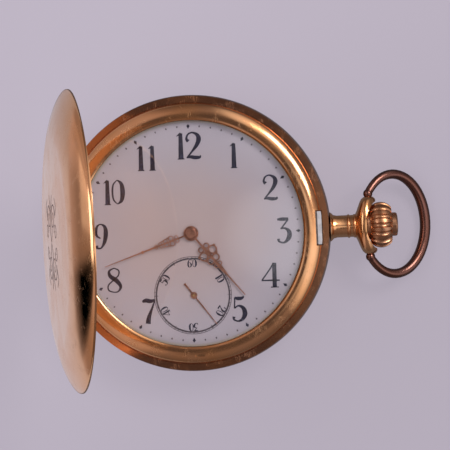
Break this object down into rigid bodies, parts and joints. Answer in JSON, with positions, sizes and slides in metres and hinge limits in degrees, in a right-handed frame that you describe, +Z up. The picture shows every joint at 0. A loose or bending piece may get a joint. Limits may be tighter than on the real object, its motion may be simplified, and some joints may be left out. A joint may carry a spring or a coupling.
{
  "type": "full hunter pocket watch",
  "caption": "Open full hunter pocket watch with domed hinged covers, enamel dial with small seconds, fluted crown, swinging bow and lever movement.",
  "frame": {"origin": "centre of the back cover's flat outer face, on which the watch lies", "axes": "+Z up out of the dial, +X along the pendant at 3 o'clock, +Y to 12 o'clock"},
  "size_m": [0.0702, 0.051, 0.0574],
  "materials": {
    "case_gold": "polished, lightly worn",
    "polished_steel": "polished",
    "blued_steel": "heat blued",
    "crystal_glass": "clear",
    "dial_enamel": "glossy",
    "rose_gold": "polished",
    "gilt_brass": "frosted gilt",
    "ruby": "polished"
  },
  "bodies": {
    "case": {"case_band": "case_gold", "pendant": "case_gold", "pendant_sleeve": "polished_steel", "front_hinge_pin": "polished_steel", "back_hinge_pin": "polished_steel", "inner_hinge_pin": "polished_steel", "bezel": "case_gold", "crystal": "crystal_glass", "case_spring_screws": "blued_steel", "dial": "dial_enamel", "mainplate": "gilt_brass", "barrel_bridge": "gilt_brass", "train_bridge": "gilt_brass", "balance_cock": "gilt_brass", "pallet_cock": "gilt_brass", "crown_wheel_cap": "gilt_brass", "bridge_screws": "blued_steel", "case_screws": "blued_steel", "jewels": "ruby", "click_spring": "polished_steel", "hairspring": "blued_steel", "hairspring_stud": "polished_steel"},
    "bow": {"bow": "case_gold"},
    "front_cover": {"front_cover": "case_gold"},
    "back_cover": {"back_cover": "case_gold"},
    "inner_cover": {"inner_cover": "case_gold"},
    "lock_spring": {"lock_spring": "polished_steel"},
    "lift_spring": {"lift_spring": "polished_steel"},
    "winding_pinion": {"winding_pinion": "polished_steel"},
    "stem": {"stem": "polished_steel"},
    "crown": {"crown": "case_gold"},
    "clutch": {"clutch": "polished_steel"},
    "crown_wheel": {"crown_wheel": "polished_steel"},
    "ratchet": {"ratchet_wheel": "polished_steel", "barrel_arbor": "polished_steel"},
    "barrel": {"barrel": "gilt_brass", "barrel_cap": "gilt_brass", "mainspring": "polished_steel"},
    "center": {"center_wheel": "gilt_brass", "cannon_pinion": "polished_steel", "minute_hand": "rose_gold"},
    "hour": {"hour_wheel": "gilt_brass", "hour_hand": "rose_gold"},
    "minute_wheel": {"minute_wheel": "gilt_brass"},
    "third": {"third_wheel": "gilt_brass"},
    "fourth": {"fourth_wheel": "gilt_brass", "seconds_hand": "rose_gold"},
    "escape": {"escape_wheel": "polished_steel"},
    "pallets": {"pallet_fork": "polished_steel", "pallet_stones": "ruby"},
    "balance": {"balance_wheel": "gilt_brass", "balance_staff": "polished_steel"},
    "click": {"click": "polished_steel"},
    "regulator": {"regulator": "polished_steel"},
    "setting_wheel": {"setting_wheel": "polished_steel"},
    "setting_lever": {"setting_lever": "polished_steel"},
    "yoke": {"yoke": "polished_steel"}
  },
  "joints": [
    {"name": "front_cover_open", "type": "hinge", "parent": "case", "child": "front_cover", "pos_m": [-0.0253, 0, 0.00985], "axis": [0, -1, 0], "range_deg": [-71, 0], "stiffness_Nm_per_rad": 0.002, "springref_deg": 68.75},
    {"name": "back_cover_open", "type": "hinge", "parent": "case", "child": "back_cover", "pos_m": [-0.0253, 0, 0.00415], "axis": [0, 1, 0], "range_deg": [0, 95]},
    {"name": "inner_cover_open", "type": "hinge", "parent": "case", "child": "inner_cover", "pos_m": [-0.0239, 0, 0.0035], "axis": [0, 1, 0], "range_deg": [0, 86]},
    {"name": "bow_swing", "type": "hinge", "parent": "case", "child": "bow", "pos_m": [0.0325, 0, 0.0068], "axis": [0, -1, 0], "range_deg": [-61.5, 118.5]},
    {"name": "crown_turn", "type": "hinge", "parent": "case", "child": "winding_pinion", "pos_m": [0.0159, 0, 0.0068], "axis": [1, 0, 0], "continuous": true},
    {"name": "crown_pull", "type": "slide", "parent": "winding_pinion", "child": "stem", "axis": [1, 0, 0], "range_m": [0, 0.001]},
    {"name": "lid_release", "type": "slide", "parent": "stem", "child": "crown", "axis": [1, 0, 0], "range_m": [-0.0006, 0], "stiffness_N_per_m": 400, "springref_m": 0.0008},
    {"name": "lock_spring_bend", "type": "hinge", "parent": "case", "child": "lock_spring", "pos_m": [0.01861, 0.01255, 0.0068], "axis": [0, 0, 1], "range_deg": [-0.92, 0]},
    {"name": "clutch_slide", "type": "slide", "parent": "winding_pinion", "child": "clutch", "axis": [1, 0, 0], "range_m": [-0.001, 0]},
    {"name": "lift_spring_bend", "type": "hinge", "parent": "case", "child": "lift_spring", "pos_m": [-0.01904, -0.0119, 0.0068], "axis": [0, 0, 1], "range_deg": [-0.72, 0]},
    {"name": "crown_wheel_turn", "type": "hinge", "parent": "case", "child": "crown_wheel", "pos_m": [0.0125, 0, 0.0068], "axis": [0, 0, -1], "continuous": true},
    {"name": "ratchet_turn", "type": "hinge", "parent": "case", "child": "ratchet", "pos_m": [0.0045, 0.009, 0.0068], "axis": [0, 0, -1], "continuous": true},
    {"name": "click_turn", "type": "hinge", "parent": "case", "child": "click", "pos_m": [-0.0052, 0.0126, 0.0068], "axis": [0, 0, -1], "range_deg": [0, 8], "stiffness_Nm_per_rad": 0.00002, "springref_deg": -2.86},
    {"name": "seconds_hand_turn", "type": "hinge", "parent": "case", "child": "fourth", "pos_m": [0, -0.0113, 0.0068], "axis": [0, 0, -1], "continuous": true},
    {"name": "minute_hand_turn", "type": "hinge", "parent": "case", "child": "center", "pos_m": [0, 0, 0.0068], "axis": [0, 0, -1], "continuous": true},
    {"name": "hour_hand_turn", "type": "hinge", "parent": "case", "child": "hour", "pos_m": [0, 0, 0.0068], "axis": [0, 0, -1], "continuous": true},
    {"name": "minute_wheel_turn", "type": "hinge", "parent": "case", "child": "minute_wheel", "pos_m": [0.0036, 0, 0.0068], "axis": [0, 0, -1], "continuous": true},
    {"name": "setting_wheel_turn", "type": "hinge", "parent": "case", "child": "setting_wheel", "pos_m": [0.0081, 0, 0.0068], "axis": [0, 0, -1], "continuous": true},
    {"name": "third_wheel_turn", "type": "hinge", "parent": "case", "child": "third", "pos_m": [0.00334, -0.00638, 0.0068], "axis": [0, 0, -1], "continuous": true},
    {"name": "barrel_turn", "type": "hinge", "parent": "case", "child": "barrel", "pos_m": [0.0045, 0.009, 0.0068], "axis": [0, 0, -1], "continuous": true},
    {"name": "escape_wheel_turn", "type": "hinge", "parent": "case", "child": "escape", "pos_m": [-0.0047, -0.0096, 0.0068], "axis": [0, 0, -1], "continuous": true},
    {"name": "pallet_rock", "type": "hinge", "parent": "case", "child": "pallets", "pos_m": [-0.00779, -0.00717, 0.0068], "axis": [0, 0, 1], "range_deg": [-5, 5]},
    {"name": "balance_swing", "type": "hinge", "parent": "case", "child": "balance", "pos_m": [-0.0112, -0.0045, 0.0068], "axis": [0, 0, 1], "range_deg": [-270, 270], "stiffness_Nm_per_rad": 0.000005, "deforming": ["hairspring"]},
    {"name": "regulator_turn", "type": "hinge", "parent": "case", "child": "regulator", "pos_m": [-0.0112, -0.0045, 0.0068], "axis": [0, 0, 1], "range_deg": [-10, 36]},
    {"name": "setting_lever_turn", "type": "hinge", "parent": "case", "child": "setting_lever", "pos_m": [0.0174, 0.0052, 0.0068], "axis": [0, 0, 1], "range_deg": [0, 12]},
    {"name": "yoke_turn", "type": "hinge", "parent": "case", "child": "yoke", "pos_m": [0.0086, -0.0064, 0.0068], "axis": [0, 0, 1], "range_deg": [0, 14]}
  ],
  "couplings": [
    {"joint": "inner_cover_open", "follows": "back_cover_open", "ratio": 0.9},
    {"joint": "lock_spring_bend", "follows": "lid_release", "rad_per_m": 26.5},
    {"joint": "clutch_slide", "follows": "crown_pull", "ratio": -1},
    {"joint": "setting_lever_turn", "follows": "crown_pull", "rad_per_m": 196},
    {"joint": "yoke_turn", "follows": "crown_pull", "rad_per_m": 238},
    {"joint": "lift_spring_bend", "follows": "front_cover_open", "ratio": 0.01},
    {"joint": "crown_wheel_turn", "follows": "crown_turn", "ratio": -0.58333},
    {"joint": "ratchet_turn", "follows": "crown_turn", "ratio": 0.35307},
    {"joint": "minute_hand_turn", "follows": "seconds_hand_turn", "ratio": 0.016667},
    {"joint": "hour_hand_turn", "follows": "seconds_hand_turn", "ratio": 0.0013889},
    {"joint": "minute_wheel_turn", "follows": "seconds_hand_turn", "ratio": -0.0055556},
    {"joint": "setting_wheel_turn", "follows": "seconds_hand_turn", "ratio": 0.0083333},
    {"joint": "third_wheel_turn", "follows": "seconds_hand_turn", "ratio": -0.13333},
    {"joint": "barrel_turn", "follows": "seconds_hand_turn", "ratio": -0.0027778},
    {"joint": "escape_wheel_turn", "follows": "seconds_hand_turn", "ratio": -10}
  ]
}
